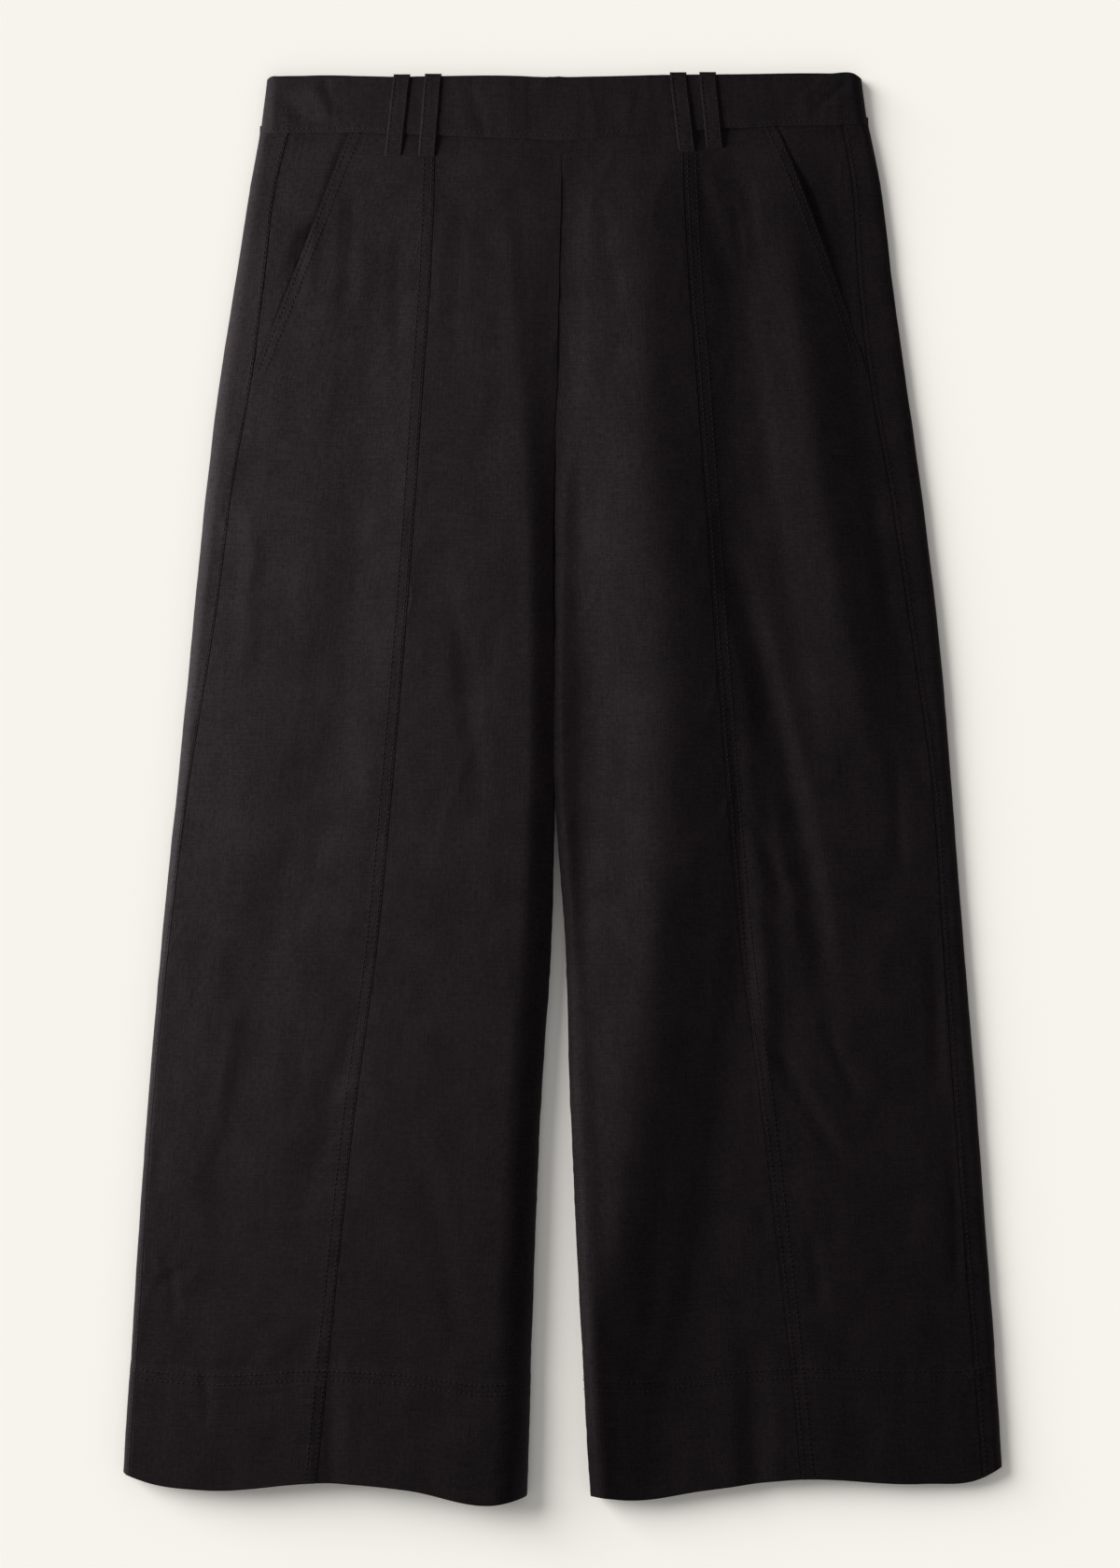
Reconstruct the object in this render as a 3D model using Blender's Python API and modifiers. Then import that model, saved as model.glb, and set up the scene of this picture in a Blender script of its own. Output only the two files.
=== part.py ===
"""Linen culottes laid flat, front up.

The garment lies on the XY plane with its underside at z = 0. The waist is at +Y, the hems are at -Y and +X
is to the right as seen from above, so left and right here are as seen from above. The origin is the middle
of the surface that the garment covers.

Every panel is a thin wall inside one of two outer skins, the front and the back of a softly puffed tube.
The skins are worked out from the tables below. All their lengths are in millimetres: d is the distance down
from the top of the waistband, x is across the garment, and z is the height above the surface.
"""

import math

import bpy
import numpy as np

MM = 0.001

# Sizes down the garment
WAIST_Y = 434.8  # y of d = 0
BAND_DEPTH = 36.0  # d of the waistband's seam, before its curve
HEM_D = 862.0  # d of the hem, before its curve
SEAM_CURVE_REACH = 90.0  # how far the curve of the waistband's seam shows in the panels
HEM_CURVE_REACH = 170.0  # the same for the hem's curve

# Cloth
WALL = 1.2  # linen and its pressed seam allowances
BAND_WALL = 1.9  # doubled and interfaced
ELASTIC_WALL = 1.3  # doubled over a soft elastic
LOOP_WALL = 1.5  # folded in three
GAP = 0.3  # between neighbours at a seam, and between one layer and the next
LIP = 1.0  # width of the narrow cells along a seam, which turn the walls there square to the skin

# Rounded edges, where the back panels turn up over the sides
EQUATOR_Z = 4.2  # height of the widest point
EQUATOR_SHARE = 0.45  # and the most that it may be of the height of a thin edge
UNDER_ROUND = 4.0  # width of the turn below the widest point
INSEAM_Z = 4.2
BACK_RISE_D = (294.0, 326.0)  # where the back's inner edge starts to turn up, and where it is at the inseam

# Pockets
POCKET_END_D = 184.0  # where the slanted mouth meets the side seam
MOUTH_TOP_X = 130.5
MOUTH_BOW = {"left": 0.0, "right": 3.2}  # how far its middle bows towards the side
MOUTH_GAPE = {"left": 1.2, "right": 2.8}  # how far the mouth's edge stands up
MOUTH_FADE = 20.0  # how far the lifted edge of the mouth shows in the side panel
MOUTH_SINK = {"left": 0.6, "right": 2.0}  # how far the facing sinks below it
FACING_UNDER = 13.0  # how far the facing runs in under the side panel
FACING_DIVE_D = (140.0, 174.0)  # where the facing starts to sink below its side seam, and where it is down
FACING_END_D = 182.0

# Waistband
BAND_SIDES = {"left": (-181.0, -184.8), "right": (182.8, 186.4)}  # x at its top and at its seam
BAND_Z = (8.0, 9.0)  # height at the sides and at the middle
BAND_ROUND = 8.0
BAND_EQUATOR_Z = 3.6
BAND_UNDER_ROUND = 3.0
BAND_TURN_UNDER = 20.0  # how far its ends reach in below
GATHER_PITCH = 15.6
GATHER_RISE = 1.1
GATHER_STEPS = 6  # columns of the mesh in one gather
ELASTIC_TOP_D = 1.2  # how far down its gathered edge is hidden
ELASTIC_PEEK = 1.3  # and how far above the front band it shows in one stretch
ELASTIC_PEEK_AT = (-5.0, 26.0)  # the middle and half width of that stretch

# Belt loops
LOOP_WIDTH = 10.2
LOOP_BOTTOM_D = 48.3
LOOP_BOW = 1.1  # height of the gap for a belt
LOOP_PATH = (  # d below the band's edge, its height as a share of the bow, and how far it stands off the cloth
    (0.0, 0.0, -1.0),
    (1.0, 0.0, 0.2),
    (5.0, 0.7, 0.0),
    (15.0, 1.0, 0.0),
    (28.0, 0.8, 0.0),
)
LOOP_FOOT = ((37.0, 0.5), (43.0, 0.4), (LOOP_BOTTOM_D, 0.1))  # d, and how far it stands off the panel
BELT_LOOPS = (  # x at the top, x at the bottom, and the half that each is on
    (-98.3, -102.6, "left"),
    (-79.2, -82.4, "left"),
    (71.5, 77.5, "right"),
    (89.8, 94.1, "right"),
)

# The left and right halves of the garment, a row for each station down it. outer is the edge of what shows
# from above, seam is the side seam, princess is the seam down the panel, and inner is the centre-front seam
# and then the inseam. outer_z and inner_z are the heights at the two sides, outer_round and inner_round the
# widths over which the front turns down there, and fork says how far it has turned down at the inner side.
SECTION_COLUMNS = (
    "d", "outer", "seam", "princess", "inner", "outer_z", "inner_z", "outer_round", "inner_round", "fork",
)
SECTIONS = {
    "left": (
        (36, -184.8, -167.6, -77.5, -0.7, 7.4, 8.6, 9, 20, 0.00),
        (67, -190.4, -174.9, -78.2, -1.0, 8.6, 11.0, 11, 22, 0.03),
        (124, -199.5, -182.0, -80.5, -1.7, 10.0, 14.0, 13, 26, 0.18),
        (181, -208.6, -189.0, -84.5, -2.6, 11.0, 16.0, 14, 26, 0.40),
        (250, -217.2, -201.0, -89.0, -2.9, 11.5, 17.0, 14, 25, 0.72),
        (324, -224.6, -210.6, -94.5, -2.9, 12.0, 17.5, 13, 24, 1.00),
        (438, -235.6, -228.6, -104.0, -3.1, 12.0, 18.0, 11, 22, 1.00),
        (523, -244.0, -239.0, -112.0, -4.4, 12.0, 18.0, 10, 22, 1.00),
        (637, -253.7, -250.4, -127.0, -11.4, 12.0, 18.0, 9, 24, 1.00),
        (751, -261.4, -257.4, -139.0, -16.5, 12.5, 18.5, 9, 26, 1.00),
        (862, -267.9, -264.3, -149.6, -20.6, 13.0, 19.0, 9, 26, 1.00),
    ),
    "right": (
        (36, 186.4, 170.6, 73.5, -0.7, 7.4, 8.6, 9, 20, 0.00),
        (67, 193.2, 176.4, 74.2, -1.0, 8.4, 10.6, 10, 22, 0.03),
        (124, 200.6, 180.6, 77.0, -1.7, 9.6, 12.0, 11, 24, 0.18),
        (181, 208.6, 187.0, 81.5, -2.6, 10.4, 12.8, 12, 24, 0.40),
        (250, 218.3, 199.5, 86.5, -2.9, 11.0, 12.6, 12, 18, 0.72),
        (324, 227.4, 210.5, 91.5, -2.9, 11.4, 12.2, 11, 13, 1.00),
        (438, 237.7, 226.3, 100.0, -2.4, 11.4, 12.2, 11, 10, 1.00),
        (523, 244.0, 232.0, 107.5, 1.0, 11.4, 12.2, 11, 9, 1.00),
        (637, 253.1, 240.0, 122.0, 5.8, 11.4, 12.6, 10, 9, 1.00),
        (751, 261.4, 248.4, 135.0, 11.0, 11.8, 13.0, 9, 10, 1.00),
        (862, 267.9, 256.5, 145.5, 17.7, 12.2, 14.0, 9, 10, 1.00),
    ),
}

# Edges that curve across the garment, each a row of x and d.
BAND_TOP_EDGE = ((-181, 4.0), (-177, 0.8), (-168, 0.0), (0, 0.5), (110, -0.8), (168, -1.5), (179, -0.4), (183, 3.5))
BAND_SEAM_EDGE = ((-187, 34.8), (-116, 33.0), (-2, 39.9), (78, 37.6), (187, 30.2))
HEM_EDGES = {
    "left": (
        (-268, 852), (-252, 860), (-220, 864.5), (-141, 860), (-95, 864), (-42, 872.5), (-21, 866),
    ),
    "right": (
        (17.5, 865), (42, 870.5), (87, 865), (144, 858.4), (220, 861.3), (255, 858), (268, 850),
    ),
}

# The largest folds, a row for each. A fold runs from (x0, d0) to (x1, d1) and bows to the right of that
# line by bow. left and right are its widths to either side, and rise is its height, negative for a trough.
FOLD_COLUMNS = ("side", "x0", "d0", "x1", "d1", "bow", "left", "right", "rise")
FOLDS = (
    ("left", -133, 120, -176, 540, -2, 34, 30, -3.4),
    ("left", -172, 440, -236, 760, -12, 24, 26, -2.8),
    ("left", -110, 500, -160, 730, -6, 22, 20, -2.6),
    ("left", -141, 770, -145, 960, 0, 16, 15, -5.0),
    ("right", 50, 60, 20, 830, 19, 44, 42, 9.0),
    ("right", 140, 90, 176, 440, -2, 34, 28, 5.5),
    ("right", 92, 262, 166, 600, 9, 13, 13, -3.6),
    ("right", 102, 330, 124, 660, 2, 15, 14, 3.0),
    ("right", 116, 780, 121, 960, 0, 16, 14, -3.0),
)
FOLD_END = 0.3  # the share of a fold's length over which each end fades

# Rows of the panels' meshes, as stretches of d with the cells in each
PANEL_ROWS = ((BAND_DEPTH, POCKET_END_D, 5), (POCKET_END_D, 296.0, 4), (296.0, 332.0, 3), (332.0, HEM_D, 12))

CLOTH_COLOUR = (0.0122, 0.0103, 0.0110, 1.0)  # washed black


def ease(t):
    """0 to 1, flat at both ends."""
    t = np.clip(t, 0.0, 1.0)
    return t * t * (3.0 - 2.0 * t)


def read_curve(rows, column, at):
    """Reads a column of a table at any place in its first column, on a smooth curve through its rows."""
    table = np.array(rows, float)
    places = table[:, 0]
    values = table[:, column]
    slopes = np.gradient(values, places)
    low = np.clip(np.searchsorted(places, at) - 1, 0, len(places) - 2)
    span = places[low + 1] - places[low]
    t = np.clip((at - places[low]) / span, 0.0, 1.0)
    back = 1.0 - t
    here = (1.0 + 2.0 * t) * back**2 * values[low] + t * back**2 * span * slopes[low]
    there = t**2 * (3.0 - 2.0 * t) * values[low + 1] - t**2 * back * span * slopes[low + 1]
    return here + there


def section(side, name, d):
    return read_curve(SECTIONS[side], SECTION_COLUMNS.index(name), d)


def fold_rise(side, d, x):
    """Height that the folds of one side add at a place."""
    total = np.zeros(np.broadcast(d, x).shape)
    for row in FOLDS:
        fold = dict(zip(FOLD_COLUMNS, row))
        if fold["side"] != side:
            continue
        run = np.array((fold["x1"] - fold["x0"], fold["d1"] - fold["d0"]))
        length = math.hypot(*run)
        along = ((x - fold["x0"]) * run[0] + (d - fold["d0"]) * run[1]) / length**2
        off = ((x - fold["x0"]) * run[1] - (d - fold["d0"]) * run[0]) / length
        off = off - fold["bow"] * 4.0 * along * (1.0 - along)
        reach = np.where(off < 0.0, fold["left"], fold["right"])
        bell = 0.5 + 0.5 * np.cos(math.pi * np.clip(off / reach, -1.0, 1.0))
        total += fold["rise"] * bell * ease(along / FOLD_END) * ease((1.0 - along) / FOLD_END)
    return total


def outward(side):
    return -1.0 if side == "left" else 1.0


def inner_edge(side, d):
    """x of a half's own inner edge, clear of the other half's."""
    return section(side, "inner", d) + outward(side) * GAP / 2


def mouth_x(side, d):
    """x of the pocket mouth's edge."""
    down = (d - BAND_DEPTH) / (POCKET_END_D - BAND_DEPTH)
    start = outward(side) * MOUTH_TOP_X
    end = section(side, "seam", POCKET_END_D)
    return start + (end - start) * down + outward(side) * MOUTH_BOW[side] * 4.0 * down * (1.0 - down)


def equator_z(side, d):
    return np.minimum(EQUATOR_Z, EQUATOR_SHARE * section(side, "outer_z", d))


def front_z(side, d, x):
    """Height of the front skin, from the outer edge to the inner one."""
    outer = section(side, "outer", d)
    inner = inner_edge(side, d)
    across = ease((x - outer) / (inner - outer))
    z = section(side, "outer_z", d) * (1.0 - across) + section(side, "inner_z", d) * across
    z = z + fold_rise(side, d, x)
    from_outer = np.clip(np.abs(x - outer) / section(side, "outer_round", d), 0.0, 1.0)
    equator = equator_z(side, d)
    z = equator + (z - equator) * np.sqrt(1.0 - (1.0 - from_outer) ** 2)
    from_inner = np.clip(np.abs(x - inner) / section(side, "inner_round", d), 0.0, 1.0)
    fork = section(side, "fork", d)
    soft = ease(from_inner)
    turned = np.sqrt(1.0 - (1.0 - from_inner) ** 2)
    edge = z + (INSEAM_Z + GAP / 2 + LIP - z) * fork
    return edge + (z - edge) * (soft + (turned - soft) * fork)


def girth_at(reach, turn):
    """Length round an edge of a point this far in from it, where the turn is this wide."""
    return turn * np.arccos(1.0 - np.minimum(reach / turn, 1.0)) + np.maximum(reach - turn, 0.0)


def reach_at(girth, turn):
    """The inverse of girth_at."""
    quarter = turn * math.pi / 2
    return turn * (1.0 - np.cos(np.minimum(girth, quarter) / turn)) + np.maximum(girth - quarter, 0.0)


def curved(side, d, x):
    """d moved to the curves of the waistband's seam and of the hem."""
    seam = (read_curve(BAND_SEAM_EDGE, 1, x) - BAND_DEPTH) * ease(1.0 - (d - BAND_DEPTH) / SEAM_CURVE_REACH)
    hem = (read_curve(HEM_EDGES[side], 1, x) - HEM_D) * ease(1.0 - (HEM_D - d) / HEM_CURVE_REACH)
    return d + seam + hem


def spread(start, end, cells):
    """Places from start to end, with a narrow cell beside each of them."""
    lip = LIP * np.sign(end - start)
    inside = start + lip + (end - start - 2.0 * lip) * np.linspace(0.0, 1.0, cells + 1)[None, :]
    return np.concatenate((start, inside, end), axis=1)


def rows_between(stretches):
    """Stations down a panel, shortened by half a seam's gap at the waistband."""
    stations = [stretches[0][0] + GAP / 2]
    for start, end, cells in stretches:
        stations += list(np.linspace(start, end, cells + 1)[1:])
    return np.array(stations)


def wall_of(name, collection, x, d, z, wall, facing_up):
    """A sheet through a grid of points, rows down the garment, thickened inwards."""
    rows, columns = x.shape
    corners = np.stack((x * MM, (WAIST_Y - d) * MM, z * MM), axis=-1).reshape(-1, 3)
    faces = []
    for row in range(rows - 1):
        for column in range(columns - 1):
            first = row * columns + column
            face = (first, first + columns, first + columns + 1, first + 1)
            faces.append(face if facing_up else face[::-1])
    mesh = bpy.data.meshes.new(name)
    mesh.from_pydata(corners.tolist(), [], faces)
    mesh.shade_smooth()
    piece = bpy.data.objects.new(name, mesh)
    collection.objects.link(piece)
    thicken = piece.modifiers.new("Wall", "SOLIDIFY")
    thicken.thickness = wall * MM
    thicken.offset = -1.0
    thicken.use_even_offset = True
    material = bpy.data.materials.new(name + "_linen")
    material.use_nodes = True
    surface = material.node_tree.nodes["Principled BSDF"]
    surface.inputs["Base Color"].default_value = CLOTH_COLOUR
    surface.inputs["Roughness"].default_value = 0.9
    surface.inputs["Metallic"].default_value = 0.0
    mesh.materials.append(material)
    return piece


def front_side(side, collection):
    """The side panel of a front, from the princess seam to the pocket mouth and the side seam."""
    cells = 8
    d = rows_between(PANEL_ROWS)[:, None]
    turn = section(side, "outer_round", d)
    outer = section(side, "outer", d)
    edge = np.where(d < POCKET_END_D, mouth_x(side, d), section(side, "seam", d))
    edge = edge - outward(side) * GAP / 2
    princess = section(side, "princess", d) + outward(side) * GAP / 2
    start = girth_at(np.abs(edge - outer), turn)
    end = girth_at(np.abs(princess - outer), turn)
    x = outer - outward(side) * reach_at(spread(start, end, cells), turn)
    down = (d - BAND_DEPTH) / (POCKET_END_D - BAND_DEPTH)
    gape = MOUTH_GAPE[side] * np.sin(math.pi * np.clip(down, 0.0, 1.0)) ** 2
    lift = gape * ease(1.0 - np.abs(x - edge) / MOUTH_FADE)
    z = front_z(side, d, x) + lift
    wall_of(f"front_side_{side}", collection, x, curved(side, d, x), z, WALL, side == "left")


def front_centre(side, collection):
    """The centre panel of a front, from the princess seam to the centre-front seam and the inseam."""
    cells = 10
    d = rows_between(PANEL_ROWS)[:, None]
    turn = section(side, "inner_round", d)
    inner = inner_edge(side, d)
    princess = section(side, "princess", d) - outward(side) * GAP / 2
    girth = spread(girth_at(np.abs(princess - inner), turn), 0.0 * d, cells)[:, :-1]
    x = inner + outward(side) * reach_at(girth, turn)
    z = front_z(side, d, x)
    # The last narrow cell stands up where the two legs part.
    turned = section(side, "fork", d) * math.pi / 2
    x[:, -1:] = inner + outward(side) * LIP * np.cos(turned)
    z[:, -1:] = front_z(side, d, x[:, -1:])
    x = np.concatenate((x, inner), axis=1)
    z = np.concatenate((z, z[:, -1:] - LIP * np.sin(turned)), axis=1)
    wall_of(f"front_centre_{side}", collection, x, curved(side, d, x), z, WALL, side == "left")


def back_panel(side, collection):
    """A back panel, from the side seam on the front, over the outer edge and under the leg to its inner edge."""
    over, under, flat = 4, 3, 5
    way = outward(side)
    d = rows_between(PANEL_ROWS)[:, None]
    turn = section(side, "outer_round", d)
    outer = section(side, "outer", d)
    inner = inner_edge(side, d)
    seam = section(side, "seam", d) + way * GAP / 2
    girth = spread(girth_at(np.abs(seam - outer), turn), 0.0 * d, over)[:, :-1]
    girth[:, -1] = 0.0
    over_x = outer - way * reach_at(girth, turn)
    over_z = front_z(side, d, over_x)
    angle = np.linspace(0.0, math.pi / 2, under + 1)[None, :]
    under_x = outer - way * UNDER_ROUND * (1.0 - np.cos(angle))
    under_z = equator_z(side, d) * (1.0 - np.sin(angle))
    from_x = outer - way * UNDER_ROUND
    to_x = inner + way * UNDER_ROUND
    flat_x = from_x + (to_x - from_x) * np.linspace(0.0, 1.0, flat + 1)[None, 1:]
    risen = ease((d - BACK_RISE_D[0]) / (BACK_RISE_D[1] - BACK_RISE_D[0]))
    turned = risen * math.pi / 2
    lip_x = inner + way * LIP * np.cos(turned)
    lip_z = (INSEAM_Z - GAP / 2) * risen - LIP * np.sin(turned)
    up = angle[:, ::-1][:, 1:]
    in_x = lip_x + (to_x - lip_x) * (1.0 - np.cos(up))
    in_z = np.maximum(lip_z, 0.0) * (1.0 - np.sin(up))
    rim_z = in_z[:, -1:] + LIP * np.sin(turned)
    x = np.concatenate((over_x, under_x[:, 1:], flat_x, in_x, inner), axis=1)
    z = np.concatenate((over_z, under_z[:, 1:], 0.0 * flat_x, in_z, rim_z), axis=1)
    wall_of(f"back_{side}", collection, x, curved(side, d, x), z, WALL, side == "right")


def pocket_facing(side, collection):
    """The hip piece inside a pocket mouth, from the side seam to a strip under the side panel."""
    cells = 6
    way = outward(side)
    d = rows_between(((BAND_DEPTH, FACING_END_D, 8),))[:, None]
    seam = section(side, "seam", d) - way * GAP
    x = spread(seam, mouth_x(side, d) - way * FACING_UNDER, cells)
    down = (d - BAND_DEPTH) / (POCKET_END_D - BAND_DEPTH)
    under = WALL + GAP + MOUTH_SINK[side] * np.sin(math.pi * down)
    dive, dived = FACING_DIVE_D
    at_seam = under * ease((d - dive) / (dived - dive))
    towards = ease((seam - x) / (seam - mouth_x(side, d)))
    z = front_z(side, d, x) - at_seam - (under - at_seam) * towards
    wall_of(f"pocket_facing_{side}", collection, x, curved(side, d, x), z, WALL, side == "left")


def band_z(x):
    """Height of the front waistband's face between its rounded ends."""
    sides, middle = BAND_Z
    return middle + (sides - middle) * (x / BAND_SIDES["right"][1]) ** 2


def waistband_front(collection):
    """The flat front of the waistband, with its ends folded round the sides and under."""
    over, under, flat = 4, 3, 16
    down = np.linspace(0.0, 1.0, 4)[:, None]
    turn_over = np.linspace(0.0, math.pi / 2, over + 1)[None, :]
    turn_under = np.linspace(math.pi / 2, 0.0, under + 1)[None, :]
    ends = []
    for side in ("left", "right"):
        way = outward(side)
        top, seam = BAND_SIDES[side]
        edge = top + (seam - top) * down
        under_x = edge - way * BAND_UNDER_ROUND * (1.0 - np.cos(turn_under))
        under_z = BAND_EQUATOR_Z * (1.0 - np.sin(turn_under)) + 0.0 * edge
        over_x = edge - way * BAND_ROUND * (1.0 - np.cos(turn_over))
        over_z = BAND_EQUATOR_Z + (band_z(over_x) - BAND_EQUATOR_Z) * np.sin(turn_over)
        tail_x = edge - way * BAND_TURN_UNDER
        x = np.concatenate((tail_x, under_x, over_x[:, 1:]), axis=1)
        z = np.concatenate((0.0 * tail_x, under_z, over_z[:, 1:]), axis=1)
        ends.append((x, z))
    (left_x, left_z), (right_x, right_z) = ends
    middle_x = left_x[:, -1:] + (right_x[:, -1:] - left_x[:, -1:]) * np.linspace(0.0, 1.0, flat + 1)[None, 1:-1]
    x = np.concatenate((left_x, middle_x, right_x[:, ::-1]), axis=1)
    z = np.concatenate((left_z, band_z(middle_x), right_z[:, ::-1]), axis=1)
    top_d = read_curve(BAND_TOP_EDGE, 1, x)
    seam_d = read_curve(BAND_SEAM_EDGE, 1, x) - GAP / 2
    wall_of("waistband_front", collection, x, top_d + (seam_d - top_d) * down, z, BAND_WALL, True)


def waistband_back(collection):
    """The gathered, elasticated back of the waistband, lying under the front."""
    reach = BAND_TURN_UNDER + GAP
    left = BAND_SIDES["left"][0] + reach
    right = BAND_SIDES["right"][0] - reach
    gathers = round((right - left) / GATHER_PITCH)
    x = np.linspace(left, right, gathers * GATHER_STEPS + 1)[None, :] + np.zeros((2, 1))
    wave = np.cos(2.0 * math.pi * gathers * (x - left) / (right - left))
    middle, half = ELASTIC_PEEK_AT
    peeks = ease(1.0 - (np.abs(x - middle) - half) / half)
    top_d = ELASTIC_TOP_D - (ELASTIC_TOP_D + ELASTIC_PEEK) * peeks
    seam_d = read_curve(BAND_SEAM_EDGE, 1, x) - GAP / 2
    d = np.where(np.array([[True], [False]]), top_d, seam_d)
    z = GATHER_RISE * (1.0 - wave)
    wall_of("waistband_back", collection, x, d, z, ELASTIC_WALL, False)


def belt_loop(name, top_x, bottom_x, side, collection):
    """A folded strip from the waistband's top edge down to just below its seam."""
    seat = LOOP_WALL + GAP
    panel = front_z(side, np.array(LOOP_BOTTOM_D), np.array(bottom_x)).item() + seat
    face = band_z(top_x) + seat
    crest = read_curve(BAND_TOP_EDGE, 1, top_x).item() - seat
    path = [(crest, face - seat - BAND_WALL / 2)]
    path += [(crest + down, face + LOOP_BOW * bow + off) for down, bow, off in LOOP_PATH]
    path += [(down, panel + off) for down, off in LOOP_FOOT]
    d = np.array([[place[0]] for place in path]) + np.zeros((1, 3))
    z = np.array([[place[1]] for place in path]) + np.zeros((1, 3))
    middle = top_x + (bottom_x - top_x) * np.clip(d / LOOP_BOTTOM_D, 0.0, 1.0)
    x = middle + LOOP_WIDTH * np.linspace(-0.5, 0.5, 3)[None, :]
    wall_of(name, collection, x, d, z, LOOP_WALL, True)


def clear_scene():
    for thing in list(bpy.data.objects):
        bpy.data.objects.remove(thing, do_unlink=True)


def main():
    clear_scene()
    culottes = bpy.data.collections.new("culottes")
    bpy.context.scene.collection.children.link(culottes)
    for side in SECTIONS:
        back_panel(side, culottes)
        front_centre(side, culottes)
        front_side(side, culottes)
        pocket_facing(side, culottes)
    waistband_back(culottes)
    waistband_front(culottes)
    for number, row in enumerate(BELT_LOOPS, start=1):
        belt_loop(f"belt_loop_{number}", *row, culottes)


main()
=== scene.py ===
"""Linen culottes laid flat, front up: the looks, on the frame that the CAD model gives.

The waist is at +Y, the hems are at -Y and +X is to the right as seen from above, so left and right here are
as seen from above. All lengths in the tables and functions are in millimetres: d is the distance down from
the top of the waistband, x is across the garment, and z is the height above the surface it lies on.
"""

import math

import bpy
import numpy as np
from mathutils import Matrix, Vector


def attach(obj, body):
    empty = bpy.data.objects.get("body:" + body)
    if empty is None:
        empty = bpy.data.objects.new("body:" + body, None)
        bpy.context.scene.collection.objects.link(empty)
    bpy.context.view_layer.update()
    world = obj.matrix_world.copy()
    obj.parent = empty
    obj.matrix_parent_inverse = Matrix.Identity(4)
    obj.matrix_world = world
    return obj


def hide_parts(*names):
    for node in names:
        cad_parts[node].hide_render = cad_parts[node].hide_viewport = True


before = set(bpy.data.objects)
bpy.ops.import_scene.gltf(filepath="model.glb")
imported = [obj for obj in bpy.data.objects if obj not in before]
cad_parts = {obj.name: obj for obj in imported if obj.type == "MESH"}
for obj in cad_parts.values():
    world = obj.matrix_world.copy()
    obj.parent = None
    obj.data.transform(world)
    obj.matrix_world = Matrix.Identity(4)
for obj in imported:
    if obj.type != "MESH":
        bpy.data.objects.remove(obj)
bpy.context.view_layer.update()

MM = 0.001

# --- Sizes, nearly all of them the solids' own --------------------------------------------------------------

WAIST_Y = 434.8  # y of d = 0
BAND_DEPTH = 36.0  # d of the waistband's seam, before its curve
HEM_D = 862.0  # d of the hem, before its curve
SEAM_CURVE_REACH = 90.0  # how far the curve of the waistband's seam shows in the panels
HEM_CURVE_REACH = 170.0  # the same for the hem's curve
HEM_LIFT = 2.6  # how far above the solid's edge the cloth's hem ends

EQUATOR_Z = 4.2  # height of the widest point of an edge that turns under
EQUATOR_SHARE = 0.45  # and the most that it may be of the height of a thin edge
UNDER_ROUND = 4.0  # width of the turn below the widest point
INSEAM_Z = 4.2  # height of the inner edge where the front has turned down all the way
OUTER_WIDER = 0.6  # how much further out the cloth reaches than the solid
OUTER_TIGHTER = 0.6  # how much tighter the cloth turns down at the outer edge than the solid does
OUTER_SLOPE = {"left": (1.4, 40.0), "right": (4.6, 115.0)}  # how far it has sunk there, and from how far in
SLOPE_AT_BAND = 0.25  # the share of that at the waistband
INNER_SOFTER = {"left": 0.85, "right": 1.3}  # how much wider the inner turn is than the table says
BACK_RISE_D = (294.0, 326.0)  # where the back's inner edge starts to turn up, and where it is at the inseam

POCKET_END_D = 184.0
MOUTH_TOP_X = 130.5
MOUTH_BOW = {"left": 0.0, "right": 3.2}  # how far the mouth's middle bows towards the side
MOUTH_OPEN = {"left": (84.0, 136.0), "right": (50.0, 132.0)}  # from where to where the mouth stands open
MOUTH_OPENS_OVER = {"left": 13.0, "right": 28.0}  # and how soon below that start it does so fully
MOUTH_GAPE = {"left": 0.4, "right": 0.5}  # how far the mouth's edge stands up there
MOUTH_FADE = 16.0  # how far the lifted edge shows in the side panel
MOUTH_SINK = {"left": 1.7, "right": 1.3}  # how far the facing sinks there
MOUTH_HOLLOW = 10.0  # and from how far away it starts to
FACING_LEVEL = 0.1  # how far the facing lies below the panel where the mouth is shut
FACING_UNDER = 13.0  # how far the facing runs in under the side panel
FACING_BELOW = 1.5  # and how far below it

BAND_SIDES = {"left": (-181.0, -184.8), "right": (182.8, 186.4)}  # x at its top and at its seam
BAND_Z = (8.0, 9.0)  # height at the sides and at the middle
BAND_ROUND = 8.0
BAND_EQUATOR_Z = 3.6
BAND_UNDER_ROUND = 3.0
BAND_TURN_UNDER = 20.0  # how far its ends reach in below

LOOP_WIDTH = 10.2
LOOP_THICKNESS = 0.45
LOOP_STANDS = 2.0  # how far its top stands above the waistband
LOOP_BOW = 0.15  # height of the gap for a belt
BELT_LOOPS = (  # x at the top, x and d at the bottom, and the half that each is on
    (-98.3, -103.8, 49.2, "left"),
    (-79.2, -83.3, 49.2, "left"),
    (70.4, 75.8, 46.5, "right"),
    (88.4, 92.8, 44.2, "right"),
)

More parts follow.
